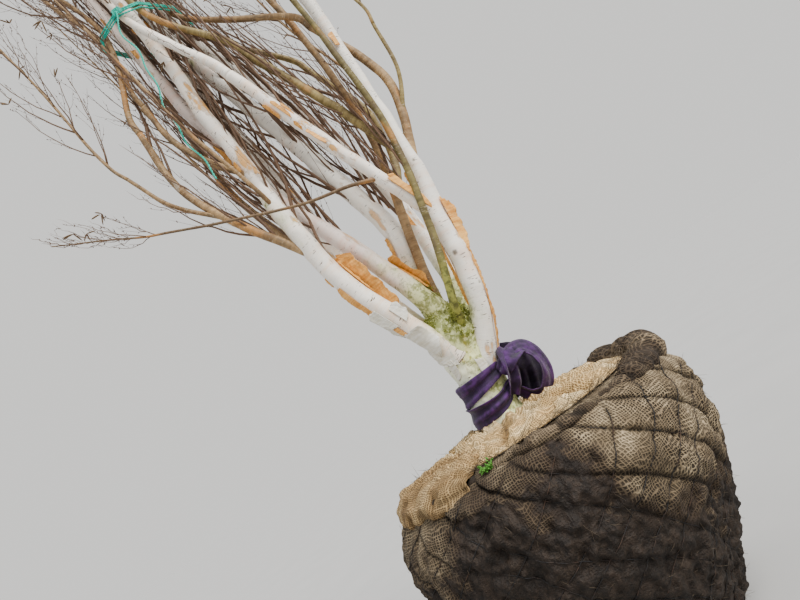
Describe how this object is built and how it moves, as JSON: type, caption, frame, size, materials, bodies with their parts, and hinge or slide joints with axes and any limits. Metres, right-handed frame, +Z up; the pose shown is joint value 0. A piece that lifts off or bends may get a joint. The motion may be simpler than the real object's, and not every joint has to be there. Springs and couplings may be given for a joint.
{
  "type": "multi-stem birch sapling with root ball",
  "caption": "Bare multi-stem tree with white bark on a wrapped, wire-netted root ball, its crown tied up for transport and a lifting strap hitched round the trunk.",
  "frame": {"origin": "middle of the root ball's flat underside, on the surface it stands on", "axes": "+Z up along the tree, front towards -Y, +X to the right of the front"},
  "size_m": [1.0791, 0.7957, 4.4359],
  "materials": {
    "soil_ball": "soiled open-weave sacking over packed earth",
    "dirty_sacking": "soiled sacking, rolled",
    "clean_sacking": "straw-coloured sacking",
    "net_wire": "thin dull dark wire",
    "white_bark": "papery white bark with orange peeling sheets and green algae",
    "brown_bark": "smooth brown and orange-tan bark",
    "twig_bark": "dark brown twigs with buds",
    "strap": "creased violet webbing",
    "twine": "turquoise-green baler twine"
  },
  "bodies": {
    "root": {"root_ball": "soil_ball", "wire_net": "net_wire", "top_cloth": "clean_sacking", "cloth_hem": "dirty_sacking", "strap_turns": "strap", "strap_loop": "strap", "twine_low": "twine", "twine_high": "twine", "twine_tail": "twine", "trunk": "white_bark", "stem_right": "white_bark", "stem_left": "white_bark", "stem_middle": "white_bark", "stem_rear": "white_bark", "stem_back_left": "white_bark", "stem_back_right": "white_bark", "bough_front": "white_bark", "stem_slim": "brown_bark", "shoot_front": "brown_bark", "bough_left": "brown_bark", "bough_left_upper": "brown_bark", "bough_crossing": "brown_bark", "bough_right": "brown_bark", "bough_back_left": "brown_bark", "bough_back_right": "brown_bark", "spur_front": "brown_bark", "spur_left": "brown_bark", "spur_right": "brown_bark", "spur_back_left": "brown_bark", "spur_back_right": "brown_bark", "shoot_stray": "brown_bark", "twigs_stem_right": "twig_bark", "twigs_stem_left": "twig_bark", "twigs_stem_middle": "twig_bark", "twigs_stem_rear": "twig_bark", "twigs_stem_back_left": "twig_bark", "twigs_stem_back_right": "twig_bark", "twigs_stem_slim": "twig_bark", "twigs_shoot_front": "twig_bark", "twigs_bough_front": "twig_bark", "twigs_bough_left": "twig_bark", "twigs_bough_left_upper": "twig_bark", "twigs_bough_crossing": "twig_bark", "twigs_bough_right": "twig_bark", "twigs_bough_back_left": "twig_bark", "twigs_bough_back_right": "twig_bark", "twigs_spur_front": "twig_bark", "twigs_spur_left": "twig_bark", "twigs_spur_right": "twig_bark", "twigs_spur_back_left": "twig_bark", "twigs_spur_back_right": "twig_bark", "twigs_stray": "twig_bark"}
  },
  "joints": []
}
